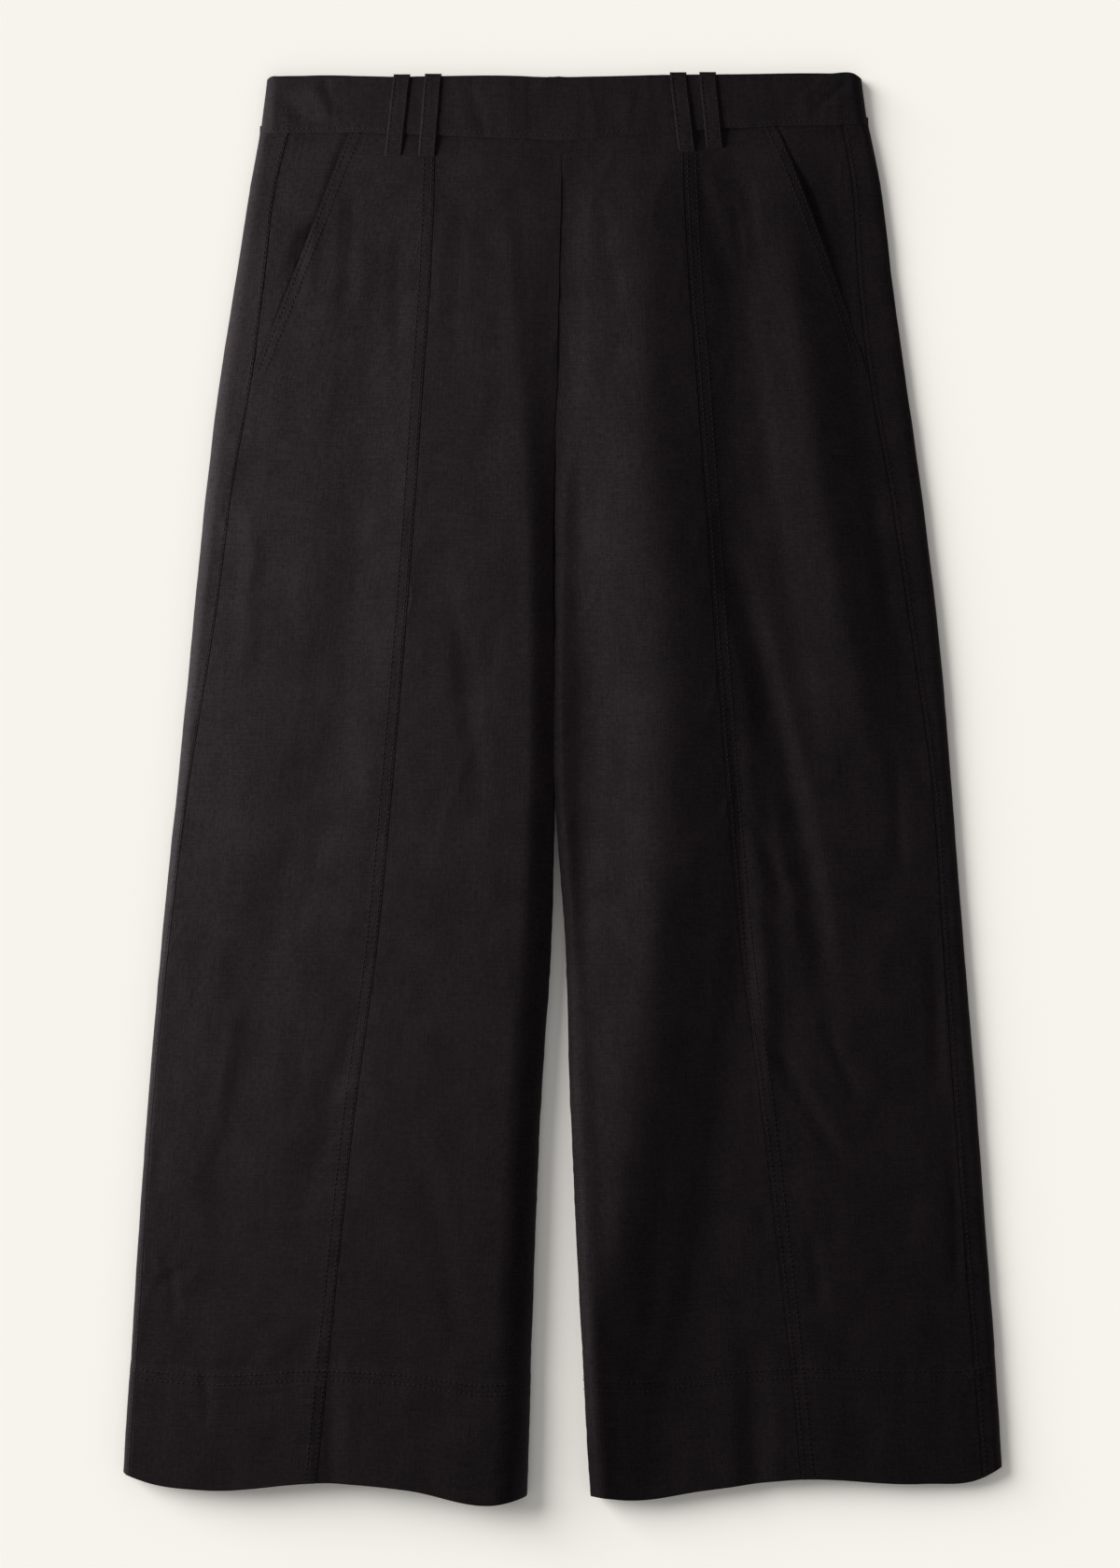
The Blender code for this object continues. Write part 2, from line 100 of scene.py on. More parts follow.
# The left and right halves, a row for each station down the garment. outer is the edge of what shows from
# above, seam is the side seam, princess is the seam down the panel, and inner is the centre-front seam and
# then the inseam. outer_z and inner_z are the heights at the two sides, outer_round and inner_round the
# widths over which the front turns down there, and fork says how far it has turned down at the inner side.
SECTION_COLUMNS = (
    "d", "outer", "seam", "princess", "inner", "outer_z", "inner_z", "outer_round", "inner_round", "fork",
)
SECTIONS = {
    "left": (
        (36, -184.8, -167.6, -77.5, -0.7, 7.4, 8.6, 9, 20, 0.00),
        (67, -190.4, -174.9, -78.2, -1.0, 8.6, 11.0, 11, 22, 0.03),
        (124, -199.5, -182.0, -80.5, -2.2, 10.0, 13.0, 13, 26, 0.10),
        (181, -208.6, -189.0, -84.5, -3.6, 11.0, 14.0, 14, 28, 0.25),
        (250, -217.2, -201.0, -89.0, -4.4, 11.5, 15.0, 14, 22, 0.42),
        (324, -224.6, -210.6, -94.5, -4.8, 12.0, 15.5, 13, 19, 0.48),
        (438, -235.6, -228.6, -104.0, -4.8, 12.0, 16.5, 11, 20, 0.56),
        (523, -244.0, -239.0, -112.0, -6.8, 12.0, 17.0, 10, 23, 0.75),
        (637, -253.7, -250.4, -127.0, -13.8, 12.0, 18.0, 9, 26, 1.00),
        (751, -261.4, -257.4, -139.0, -18.2, 12.5, 18.5, 9, 26, 1.00),
        (862, -267.9, -264.3, -149.6, -21.9, 13.0, 19.0, 9, 26, 1.00),
    ),
    "right": (
        (36, 186.4, 170.6, 73.5, -0.7, 7.4, 8.6, 9, 20, 0.00),
        (67, 193.2, 176.4, 74.2, -1.0, 8.4, 10.6, 10, 22, 0.03),
        (124, 200.6, 180.6, 77.0, -2.2, 9.6, 12.0, 11, 20, 0.02),
        (181, 208.6, 187.0, 81.5, -3.6, 10.4, 12.4, 12, 16, 0.12),
        (250, 218.3, 199.5, 86.5, -4.4, 11.0, 12.0, 12, 7, 0.15),
        (324, 227.4, 210.5, 91.5, -4.8, 11.4, 11.4, 11, 5, 0.14),
        (438, 237.7, 226.3, 100.0, -4.8, 11.4, 11.4, 11, 5, 0.20),
        (523, 244.0, 232.0, 107.5, 1.1, 11.4, 11.6, 11, 6, 0.38),
        (637, 253.1, 240.0, 122.0, 4.9, 11.4, 11.6, 10, 6, 0.32),
        (751, 261.4, 248.4, 135.0, 10.3, 11.8, 11.8, 9, 6, 0.32),
        (862, 267.9, 256.5, 145.5, 17.0, 12.2, 12.4, 9, 7, 0.36),
    ),
}

# Edges that curve across the garment, each a row of x and d.
BAND_TOP_EDGE = (
    (-181.5, 2.0), (-179.5, 0.8), (-173, 0.4), (-160, 0.2), (-147, -0.1), (-123, 0.4), (-104, 0.8),
    (-75, 0.4), (-27, 0.4), (-14, 1.0), (21, 0.7), (62, -0.3), (102, -0.7), (163, -1.3), (179, -0.9),
    (183.5, 1.6),
)
BAND_SEAM_EDGE = (
    (-187, 34.6), (-169, 34.7), (-148, 34.3), (-129, 34.3), (-110, 34.7), (-74, 36.2), (-47, 37.2),
    (-24, 37.9), (-1, 39.1), (20, 37.8), (41, 35.9), (67, 34.3), (105, 31.6), (130, 30.4), (155, 29.7),
    (187, 29.3),
)
HEM_EDGES = {
    "left": (
        (-268, 855), (-252, 860.5), (-220, 864.5), (-141, 860), (-95, 864), (-42, 873), (-21, 869),
    ),
    "right": (
        (17.5, 868.5), (42, 871), (87, 865), (144, 858.4), (220, 861.3), (255, 858.5), (268, 852),
    ),
}

# Folds and creases, a row for each, the large ones first. A fold runs from (x0, d0) to (x1, d1) and bows to
# the right of that line by bow. left and right are its widths to either side, and rise is its height,
# negative for a trough.
FOLD_COLUMNS = ("x0", "d0", "x1", "d1", "bow", "left", "right", "rise")
FOLDS = {
    "left": (
        (-112, 50, -166, 570, 12, 32, 30, -1.2),
        (-144, 410, -218, 760, -8, 30, 26, -0.7),
        (-106, 500, -154, 730, -6, 26, 20, -0.4),
        (-141, 760, -142, 960, 0, 14, 12, -1.1),
    ),
    "right": (
        (52, 15, 50, 380, 0, 56, 62, 5.6),
        (56, 180, -32, 960, 40, 56, 62, 7.8),
        (132, 20, 200, 470, -9, 36, 36, 4.2),
        (92, 262, 166, 600, 9, 15, 13, -2.1),
        (106, 330, 128, 660, 2, 11, 12, 1.6),
        (116, 760, 121, 960, 0, 16, 14, -1.7),
    ),
}
FOLD_END = 0.3  # the share of a fold's length over which each end fades
FOLD_SOFT = 0.2  # how rounded a fold's crest is, as a share of its width
FOLD_HOLLOW = 1.35  # how much its sides steepen towards the crest: 1 for straight ones

# The smaller creases, which only the cloth has
CREASES = {
    "left": (
        (-128, 58, -134, 156, 1, 9, 9, -0.45),
        (-99, 90, -100, 178, -1, 8, 8, -0.39),
        (-150, 70, -158, 150, 1, 8, 7, 0.33),
        (-60, 60, -66, 190, -2, 12, 10, -0.39),
        (-34, 70, -30, 200, 1, 10, 10, 0.39),
        (-116, 546, -158, 700, -3, 10, 10, -0.4),
        (-241, 716, -236, 764, 1, 5, 5, -0.52),
        (-254, 744, -218, 720, 1, 6, 6, -0.3),
        (-219, 784, -217, 826, 1, 5, 6, -0.52),
        (-70, 300, -50, 470, 3, 10, 12, -0.45),
        (-190, 250, -196, 380, 2, 10, 9, 0.45),
        (-90, 640, -60, 790, 2, 14, 12, -0.52),
        (-200, 560, -214, 660, 1, 8, 8, 0.39),
    ),
    "right": (
        (-9, 400, 27, 1000, 0, 6, 18, 1.6),
        (-5, 170, -5, 640, 0, 6, 17, 1.4),
        (80, 50, 96, 124, 1, 8, 8, -0.5),
        (97, 76, 108, 126, 1, 6, 6, 0.35),
        (111, 60, 119, 124, 1, 7, 7, -0.4),
        (112, 440, 142, 518, -1, 7, 7, -0.72),
        (122, 578, 178, 672, -2, 9, 8, -0.95),
        (156, 568, 186, 636, -1, 7, 7, -0.65),
        (150, 700, 158, 760, 1, 7, 7, -0.52),
        (202, 400, 206, 500, 1, 8, 7, -0.72),
        (225, 515, 229, 632, 1, 8, 7, -0.65),
        (237, 630, 240, 756, 1, 7, 6, -0.59),
        (20, 60, 34, 150, 1, 9, 9, -0.39),
        (60, 640, 48, 800, 2, 10, 12, -0.45),
        (186, 240, 200, 360, 1, 9, 9, -0.52),
    ),
}

# Creases of the waistband, in the same columns
BAND_CREASES = (
    (-158, 0, -136, 34, 0, 9.0, 8.0, 0.55),
    (-174, 8, -152, 33, 0, 9.0, 7.0, -0.45),
    (-140, 12, -142, 32, 0, 3.0, 3.0, -0.2),
    (178, 2, 150, 29, 0, 5.0, 4.0, -0.6),
    (164, 0, 142, 22, 0, 4.0, 4.0, 0.3),
    (-56, 5, -50, 32, 0, 6.0, 6.0, -0.3),
    (42, 4, 36, 32, 0, 7.0, 6.0, 0.3),
)

# --- Sizes of the cloth and its making ----------------------------------------------------------------------

ROW_STEP = 1.8  # between the rows of a panel's mesh
COLUMN_STEP = 2.3  # between its columns
# Columns near an edge, in from it
FINE_STEPS = (0.0, 0.12, 0.35, 0.7, 1.1, 1.5, 1.9, 2.3, 2.8, 3.5, 4.4, 5.3, 6.0, 6.5, 7.0, 7.5, 8.3, 9.4)
HEM_TURN = 72.0  # depth of the hem, turned up inside
HEM_ROWS = (64.5, 70.1)  # stitch rows, measured up from the hem
MOUTH_TUCKED = (1.9, 6.0, 12.0)  # points of the cloth folded under at a pocket mouth, in from its edge
MOUTH_ROWS = (1.7, 6.5)
PRINCESS_ROWS = (2.1, 7.2)
SIDE_ROWS = (2.0,)
BAND_ALLOWANCE = 5.0  # how far the panels run up inside the waistband
BAND_LAYERS = 1.5  # from the waistband's face to the allowance inside it
FLOOR_GAP = 0.15  # the least height of the cloth above the ground
LAYER = 0.8  # between one layer of a fold and the next
ROLL = 0.6  # radius over which a seamed edge rolls down into its seam
SEAM_DEPTH = {"left": 0.5, "right": 0.0}  # how far it rolls down, on a piece to the left or right of the seam
CRUMPLE_SEEDS = {"left": 20, "right": 40}
GATHER_PITCH = 8.6
ELASTIC_ROWS = (0.3, 0.65)  # stitching through the elastic, as shares of the waistband's depth

STITCH_PITCH = 3.1
STITCH_LENGTH = 0.78 * STITCH_PITCH
THREAD = 0.46
OFF_CLOTH = np.array((0.0, 0.0, 0.1))  # from the cloth up to the middle of a stitch
OFF_RIDGE = np.array((0.0, 0.0, 0.12))  # the same beside a seam
TACK_PITCH = 0.9
TACK_LENGTH = 0.8
TACK_ROWS = (1.4, 1.9, 2.4)  # a bar tack's rows, above the lower end of its loop
TACK_REACH = 0.42 * LOOP_WIDTH
LOOP_STITCHED = (15, 7)  # columns of a loop's mesh, one near each edge, that its stitches follow
LOOP_ENDS = 4  # rows of that mesh at each end that have no stitches


def ease(t):
    """0 to 1, flat at both ends."""
    t = np.clip(t, 0.0, 1.0)
    return t * t * (3.0 - 2.0 * t)


def read_curve(rows, column, at):
    """Reads a column of a table at any place in its first column, on a smooth curve through its rows."""
    table = np.array(rows, float)
    places = table[:, 0]
    values = table[:, column]
    slopes = np.gradient(values, places)
    low = np.clip(np.searchsorted(places, at) - 1, 0, len(places) - 2)
    span = places[low + 1] - places[low]
    t = np.clip((at - places[low]) / span, 0.0, 1.0)
    back = 1.0 - t
    here = (1.0 + 2.0 * t) * back**2 * values[low] + t * back**2 * span * slopes[low]
    there = t**2 * (3.0 - 2.0 * t) * values[low + 1] - t**2 * back * span * slopes[low + 1]
    return here + there


def fold_rise(rows, d, x):
    """Height that these folds add at a place."""
    total = np.zeros(np.broadcast(d, x).shape)
    for row in rows:
        fold = dict(zip(FOLD_COLUMNS, row))
        run = np.array((fold["x1"] - fold["x0"], fold["d1"] - fold["d0"]))
        length = math.hypot(*run)
        along = ((x - fold["x0"]) * run[0] + (d - fold["d0"]) * run[1]) / length**2
        off = ((x - fold["x0"]) * run[1] - (d - fold["d0"]) * run[0]) / length
        off = off - fold["bow"] * 4.0 * along * (1.0 - along)
        reach = np.where(off < 0.0, fold["left"], fold["right"])
        away = np.clip(np.abs(off) / reach, 0.0, 1.0)
        edge = math.hypot(1.0, FOLD_SOFT)
        tent = (edge - np.hypot(away, FOLD_SOFT)) / (edge - FOLD_SOFT)
        profile = fold["rise"] * tent**FOLD_HOLLOW * ease(2.5 * (1.0 - away))
        total += profile * ease(along / FOLD_END) * ease((1.0 - along) / FOLD_END)
    return total


def outward(side):
    return -1.0 if side == "left" else 1.0


def across_from(side):
    return "right" if side == "left" else "left"


def section(side, name, d):
    value = read_curve(SECTIONS[side], SECTION_COLUMNS.index(name), d)
    return value + outward(side) * OUTER_WIDER if name == "outer" else value


def mouth_x(side, d):
    """x of the pocket mouth's edge."""
    down = (d - BAND_DEPTH) / (POCKET_END_D - BAND_DEPTH)
    start = outward(side) * MOUTH_TOP_X
    end = section(side, "seam", POCKET_END_D)
    return start + (end - start) * down + outward(side) * MOUTH_BOW[side] * 4.0 * down * (1.0 - down)


def mouth_open(side, d):
    """How far the pocket mouth stands open, from 0 to 1."""
    start, end = MOUTH_OPEN[side]
    full = start + MOUTH_OPENS_OVER[side]
    return ease((d - start) / (full - start)) * ease((end - d) / (end - full))


def edge_turn(side, d):
    """Width over which the cloth turns down at the outer edge."""
    return OUTER_TIGHTER * section(side, "outer_round", d)


def equator_z(side, d):
    return np.minimum(EQUATOR_Z, EQUATOR_SHARE * section(side, "outer_z", d))


def front_z(side, d, x):
    """Height of the front skin, from the outer edge to the inner one."""
    outer = section(side, "outer", d)
    inner = section(side, "inner", d)
    across = ease((x - outer) / (inner - outer))
    z = section(side, "outer_z", d) * (1.0 - across) + section(side, "inner_z", d) * across
    z = z + fold_rise(FOLDS[side], d, x) + fold_rise(CREASES[side], d, x)
    sunk, sloping = OUTER_SLOPE[side]
    sunk = sunk * (SLOPE_AT_BAND + (1.0 - SLOPE_AT_BAND) * ease((d - BAND_DEPTH) / 80.0))
    z = z - sunk * (1.0 - np.clip(np.abs(x - outer) / sloping, 0.0, 1.0)) ** 1.5
    from_outer = np.clip(np.abs(x - outer) / edge_turn(side, d), 0.0, 1.0)
    equator = equator_z(side, d)
    z = equator + (z - equator) * np.sqrt(1.0 - (1.0 - from_outer) ** 2)
    inner_turn = INNER_SOFTER[side] * section(side, "inner_round", d)
    from_inner = np.clip(np.abs(x - inner) / inner_turn, 0.0, 1.0)
    fork = section(side, "fork", d)
    soft = ease(from_inner)
    turned = np.sqrt(1.0 - (1.0 - from_inner) ** 2)
    edge = z + (INSEAM_Z - z) * fork
    return edge + (z - edge) * (soft + (turned - soft) * fork)


def girth_at(reach, turn):
    """Length round an edge of a point this far in from it, where the turn is this wide."""
    return turn * np.arccos(1.0 - np.minimum(reach / turn, 1.0)) + np.maximum(reach - turn, 0.0)


def reach_at(girth, turn):
    """The inverse of girth_at."""
    quarter = turn * math.pi / 2
    return turn * (1.0 - np.cos(np.minimum(girth, quarter) / turn)) + np.maximum(girth - quarter, 0.0)


def curved(side, d, x):
    """d moved to the curves of the waistband's seam and of the hem."""
    seam = (read_curve(BAND_SEAM_EDGE, 1, x) - BAND_DEPTH) * ease(1.0 - (d - BAND_DEPTH) / SEAM_CURVE_REACH)
    hem = (read_curve(HEM_EDGES[side], 1, x) - HEM_LIFT - HEM_D) * ease(1.0 - (HEM_D - d) / HEM_CURVE_REACH)
    return d + seam + hem


# --- Unevenness of washed linen -----------------------------------------------------------------------------


def noise(x, y, seed):
    """Smooth unevenness from -1 to 1, about one bump to a unit."""
    cells = 256
    grid = np.random.default_rng(seed).uniform(-1.0, 1.0, (cells, cells))
    x, y = np.broadcast_arrays(x, y)
    column = np.floor(x).astype(int)
    row = np.floor(y).astype(int)
    u = x - column
    v = y - row
    u = u**3 * (u * (6.0 * u - 15.0) + 10.0)
    v = v**3 * (v * (6.0 * v - 15.0) + 10.0)
    upper = grid[row % cells, column % cells] * (1.0 - u) + grid[row % cells, (column + 1) % cells] * u
    below = (row + 1) % cells
    lower = grid[below, column % cells] * (1.0 - u) + grid[below, (column + 1) % cells] * u
    return upper * (1.0 - v) + lower * v


def crumple(x, d, seed):
    """Small height changes of linen that has been washed and pressed: soft waves and some sharper creases."""
    sway = 9.0 * noise(x / 70.0, d / 90.0, seed)
    soft = 0.34 * noise((x + sway) / 26.0, d / 60.0, seed + 1)
    fine = 0.13 * noise((x + 0.25 * d) / 11.0, (d - sway) / 19.0, seed + 2)
    small = 0.05 * noise((x - 0.4 * d) / 5.0, d / 8.0, seed + 3)
    sharp = 1.0 - np.abs(noise((x + 0.35 * d + sway) / 34.0, (d - 0.3 * x) / 52.0, seed + 4))
    patch = ease(0.5 + 1.5 * noise(x / 55.0, d / 75.0, seed + 5))
    return 0.75 * (soft + fine + small + 0.28 * patch * sharp**8)


def pucker(along, from_seam, seed):
    """Ripples that stitching draws up beside a seam."""
    reach = np.exp(-np.abs(from_seam) / 7.0)
    wave = noise(along / 4.6, 0.5, seed) + 0.8 * noise(along / 9.5, from_seam / 12.0, seed + 1)
    return 0.15 * reach * wave


def seam_edge(from_edge, lies, share=1.0):
    """A seamed edge, which rolls down into its seam, on a piece that lies to the left or right of it."""
    inside = np.clip(1.0 - from_edge / ROLL, 0.0, 1.0)
    return -SEAM_DEPTH[lies] * share * (1.0 - np.sqrt(1.0 - inside**2))


def relief(side, d):
    """How strongly the seams stand out: less on the right from the hip down."""
    return 1.0 - (0.6 * ease((d - 250.0) / 200.0) if side == "right" else 0.0 * d)


def stitched_down(from_edge, rows):
    """The flat ridge of the folded allowance under topstitching, with a small trough at each row."""
    last = rows[-1]
    ridge = 0.07 * ease((last + 2.4 - from_edge) / 2.4)
    troughs = sum(0.04 * np.exp(-(((from_edge - row) / 0.6) ** 2)) for row in rows)
    return ridge - troughs


# --- Making meshes ------------------------------------------------------------------------------------------


def normals_of(points):
    """Unit normals of a grid of points, rows down the garment and columns across."""
    down = np.gradient(points, axis=0)
    across = np.gradient(points, axis=1)
    normal = np.cross(down, across)
    return normal / np.maximum(np.linalg.norm(normal, axis=2, keepdims=True), 1e-9)


def in_space(x, d, z):
    """Points in millimetres, with +Y towards the waist."""
    x, d, z = np.broadcast_arrays(x, d, z)
    return np.stack((x, WAIST_Y - d, z), axis=-1)


def turned_rows(points, normal, distances, inset):
    """Rows that fold round the last row of a grid and run back up behind it, at these distances from it."""
    steps = np.linalg.norm(np.diff(points, axis=0), axis=2).mean(axis=1)[::-1]
    up = np.concatenate(((0.0,), np.cumsum(steps)))
    rows = []
    onward = points[-1] - points[-2]
    onward = onward / np.linalg.norm(onward, axis=1, keepdims=True)
    radius = inset / 2.0
    for angle in np.linspace(0.0, math.pi, 6)[1:]:
        push = onward * radius * math.sin(angle)
        rows.append(points[-1] + push - normal[-1] * radius * (1.0 - math.cos(angle)))
    for distance in distances:
        place = len(points) - 1 - np.interp(distance, up, np.arange(len(points)))
        low = int(place)
        share = place - low
        point = points[low] * (1.0 - share) + points[low + 1] * share
        rows.append(point - normal[low] * inset)
    return np.concatenate((points, np.stack(rows)), axis=0)


def set_in(points):
    """The grid with a seam allowance at its top, which runs up inside the waistband."""
    top = points[:1] + np.array((0.0, BAND_ALLOWANCE, -1.0))
    x, z = top[..., 0], top[..., 2]
    inside = ease((BAND_SIDES["right"][0] - BAND_ROUND - np.abs(x)) / 6.0) * ease((z - 2.5) / 2.0)
    lifted = z + inside * np.maximum(band_z(x) - BAND_LAYERS - z, 0.0)
    top[..., 2] = np.maximum(lifted, FLOOR_GAP)
    return np.concatenate((top, points))


def lengths(points, axis):
    """Running length along one way of a grid."""
    steps = np.linalg.norm(np.diff(points, axis=axis), axis=2)
    start = np.zeros_like(np.take(steps, [0], axis=axis))
    return np.cumsum(np.concatenate((start, steps), axis=axis), axis=axis)


def flat_cut(points):
    """The flat cut: across and down the cloth, in millimetres, kept straight along its middle column."""
    upright = points.shape[1] // 2
    across = lengths(points, 1)
    across = across - across[:, upright:upright + 1]
    down = lengths(points, 0)[:, upright:upright + 1] + 0.0 * across
    return np.stack((across - across.min(), down), axis=-1)


def placed(name, data):
    """A new object, put in the scene."""
    made = bpy.data.objects.new(name, data)
    bpy.context.scene.collection.objects.link(made)
    return made


def cloth(name, points, material, outside_up):
    """A mesh over a grid of points, with the flat cut in metres as its UV map."""
    rows, columns = points.shape[:2]
    first = (np.arange(rows - 1)[:, None] * columns + np.arange(columns - 1)[None, :]).reshape(-1)
    faces = np.stack((first, first + columns, first + columns + 1, first + 1), axis=1)
    if not outside_up:
        faces = faces[:, ::-1]
    mesh = bpy.data.meshes.new(name)
    mesh.vertices.add(rows * columns)
    mesh.vertices.foreach_set("co", (points * MM).reshape(-1).astype(np.float32))
    mesh.loops.add(faces.size)
    mesh.loops.foreach_set("vertex_index", faces.reshape(-1).astype(np.int32))
    mesh.polygons.add(len(faces))
    mesh.polygons.foreach_set("loop_start", np.arange(0, faces.size, 4, dtype=np.int32))
    mesh.update(calc_edges=True)
    layer = mesh.uv_layers.new(name="Cut")
    cut = flat_cut(points).reshape(-1, 2) * MM
    layer.data.foreach_set("uv", cut[faces.reshape(-1)].reshape(-1).astype(np.float32))
    mesh.shade_smooth()
    mesh.materials.append(material)
    mesh.validate()
    return placed(name, mesh)


def stations(start, end):
    """Rows down a panel, closer together at its two ends."""
    close = np.array((0.0, 0.4, 0.8, 1.2))
    count = int((end - start) / ROW_STEP)
    middle = np.linspace(start + close[-1], end - close[-1], count + 1)
    return np.concatenate((start + close[:-1], middle, (end - close[:-1])[::-1]))[:, None]


def columns_between(start, end, fine_start=True, fine_end=True):
    """Places from start to end, in rows, close together beside a seam."""
    way = np.sign(end - start)
    fine = np.array(FINE_STEPS)[None, :]
    head = start + way * (fine if fine_start else fine[:, :1])
    tail = end - way * (fine if fine_end else fine[:, :1])[:, ::-1]
    first = head[:, -1:]
    last = tail[:, :1]
    count = max(2, round(float(np.abs(last - first).mean()) / COLUMN_STEP))
    middle = first + (last - first) * np.linspace(0.0, 1.0, count + 1)[None, 1:-1]
    return np.concatenate((head, middle, tail), axis=1)


# --- Materials ----------------------------------------------------------------------------------------------


def linear(code):
    """An sRGB hex colour as linear red, green, blue and alpha."""
    parts = [int(code[start:start + 2], 16) / 255.0 for start in (0, 2, 4)]
    return [p / 12.92 if p <= 0.04045 else ((p + 0.055) / 1.055) ** 2.4 for p in parts] + [1.0]


def add_node(tree, kind, settings=None, **inputs):
    """Adds a node. settings are its properties, and inputs its sockets' values or what to link to them."""
    node = tree.nodes.new(kind)
    for name, value in (settings or {}).items():
        setattr(node, name, value)
    for name, value in inputs.items():
        key = int(name[1:]) if name[0] == "_" else name.replace("_", " ")
        socket = node.inputs[key]
        if isinstance(value, bpy.types.NodeSocket):
            tree.links.new(value, socket)
        else:
            socket.default_value = value
    return node


def linen_material(name, colour, light_colour):
    """Plain-woven black linen. Yarns that thicken and thin give slubs both ways, loose fibres a soft bloom at
    the edges of folds, and washing a slightly uneven black."""
    material = bpy.data.materials.new(name)
    material.use_nodes = True
    tree = material.node_tree
    tree.nodes.clear()
    cut = add_node(tree, "ShaderNodeUVMap", {"uv_map": "Cut"}).outputs["UV"]
    axes = add_node(tree, "ShaderNodeSeparateXYZ", _0=cut)

    def maths(operation, first, second=0.0):
        return add_node(tree, "ShaderNodeMath", {"operation": operation}, _0=first, _1=second).outputs[0]

    def stretched(across, along, seed, detail):
        """Noise with bumps of these sizes across and down the cloth, in millimetres."""
        scaled = add_node(
            tree, "ShaderNodeMapping", Vector=cut, Location=(seed, seed, 0.0),
            Scale=(1.0 / (across * MM), 1.0 / (along * MM), 1.0),
        )
        made = add_node(
            tree, "ShaderNodeTexNoise", {"noise_dimensions": "2D"},
            Vector=scaled.outputs[0], Scale=1.0, Detail=detail, Roughness=0.6,
        )
        return made.outputs["Fac"]

    # Yarns 0.75 mm apart: a real one is nearer 0.6 mm, which would not show.
    yarn = math.pi / (0.75 * MM)
    warp = maths("SINE", maths("MULTIPLY", axes.outputs["X"], yarn))
    weft = maths("SINE", maths("MULTIPLY", axes.outputs["Y"], yarn))
    over = maths("MULTIPLY", warp, weft)
    slubs = maths("ADD", stretched(1.0, 30.0, 3.0, 2.0), stretched(26.0, 1.0, 8.0, 2.0))
    dashes = maths("ADD", stretched(0.9, 3.6, 5.0, 1.0), stretched(3.6, 0.9, 2.0, 1.0))
    mottle = stretched(22.0, 38.0, 1.0, 4.0)
    yarns = maths("ADD", maths("MULTIPLY", slubs, 0.7), dashes)
    height = maths("ADD", maths("MULTIPLY", over, 0.25), yarns)
    tone = maths("ADD", yarns, maths("MULTIPLY", mottle, 0.8))
    tone = add_node(
        tree, "ShaderNodeMapRange", _0=tone, _1=1.65, _2=2.55, _3=0.0, _4=1.0,
    ).outputs[0]
    shade = add_node(
        tree, "ShaderNodeMix", {"data_type": "RGBA"},
        _0=tone, _6=linear(colour), _7=linear(light_colour),
    ).outputs[2]
    bump = add_node(tree, "ShaderNodeBump", Strength=0.6, Distance=0.12 * MM, Height=height)
    surface = add_node(
        tree, "ShaderNodeBsdfPrincipled", Base_Color=shade, Roughness=0.82, Metallic=0.0, IOR=1.46,
        Normal=bump.outputs[0], Specular_IOR_Level=0.16, Sheen_Weight=0.04, Sheen_Roughness=0.45,
        Sheen_Tint=linear("D8CFCB"),
    )
    add_node(tree, "ShaderNodeOutputMaterial", Surface=surface.outputs[0])
    return material


def plain_material(name, colour, roughness, gloss):
    """One colour all over, with gloss as its specular level."""
    material = bpy.data.materials.new(name)
    material.use_nodes = True
    sockets = material.node_tree.nodes["Principled BSDF"].inputs
    sockets["Base Color"].default_value = linear(colour)
    sockets["Roughness"].default_value = roughness
    sockets["Specular IOR Level"].default_value = gloss
    return material


# --- Stitches -----------------------------------------------------------------------------------------------


def stitch_tree(material):
    """Geometry Nodes that lay a stitch at even steps along every line."""
    tree = bpy.data.node_groups.new("Topstitching", "GeometryNodeTree")
    face = tree.interface
    face.new_socket("Lines", in_out="INPUT", socket_type="NodeSocketGeometry")
    for label in ("Pitch", "Length", "Thread"):
        face.new_socket(label, in_out="INPUT", socket_type="NodeSocketFloat")
    face.new_socket("Stitches", in_out="OUTPUT", socket_type="NodeSocketGeometry")
    start = add_node(tree, "NodeGroupInput")
    spaced = add_node(
        tree, "GeometryNodeResampleCurve", {"mode": "LENGTH"},
        Curve=start.outputs["Lines"], Length=start.outputs["Pitch"],
    )
    tangent = add_node(tree, "GeometryNodeInputTangent")
    turned = add_node(
        tree, "FunctionNodeAlignRotationToVector", {"axis": "X"}, Vector=tangent.outputs[0],
    )
    bead = add_node(tree, "GeometryNodeMeshIcoSphere", Radius=0.5, Subdivisions=1)
    size = add_node(
        tree, "ShaderNodeCombineXYZ",
        X=start.outputs["Length"], Y=start.outputs["Thread"], Z=start.outputs["Thread"],
    )
    copied = add_node(
        tree, "GeometryNodeInstanceOnPoints", Points=spaced.outputs[0], Instance=bead.outputs["Mesh"],
        Rotation=turned.outputs[0], Scale=size.outputs[0],
    )
    real = add_node(tree, "GeometryNodeRealizeInstances", Geometry=copied.outputs[0])
    smooth = add_node(tree, "GeometryNodeSetShadeSmooth", Geometry=real.outputs[0])
    painted = add_node(tree, "GeometryNodeSetMaterial", Geometry=smooth.outputs[0], Material=material)
    add_node(tree, "NodeGroupOutput", Stitches=painted.outputs[0])
    return tree


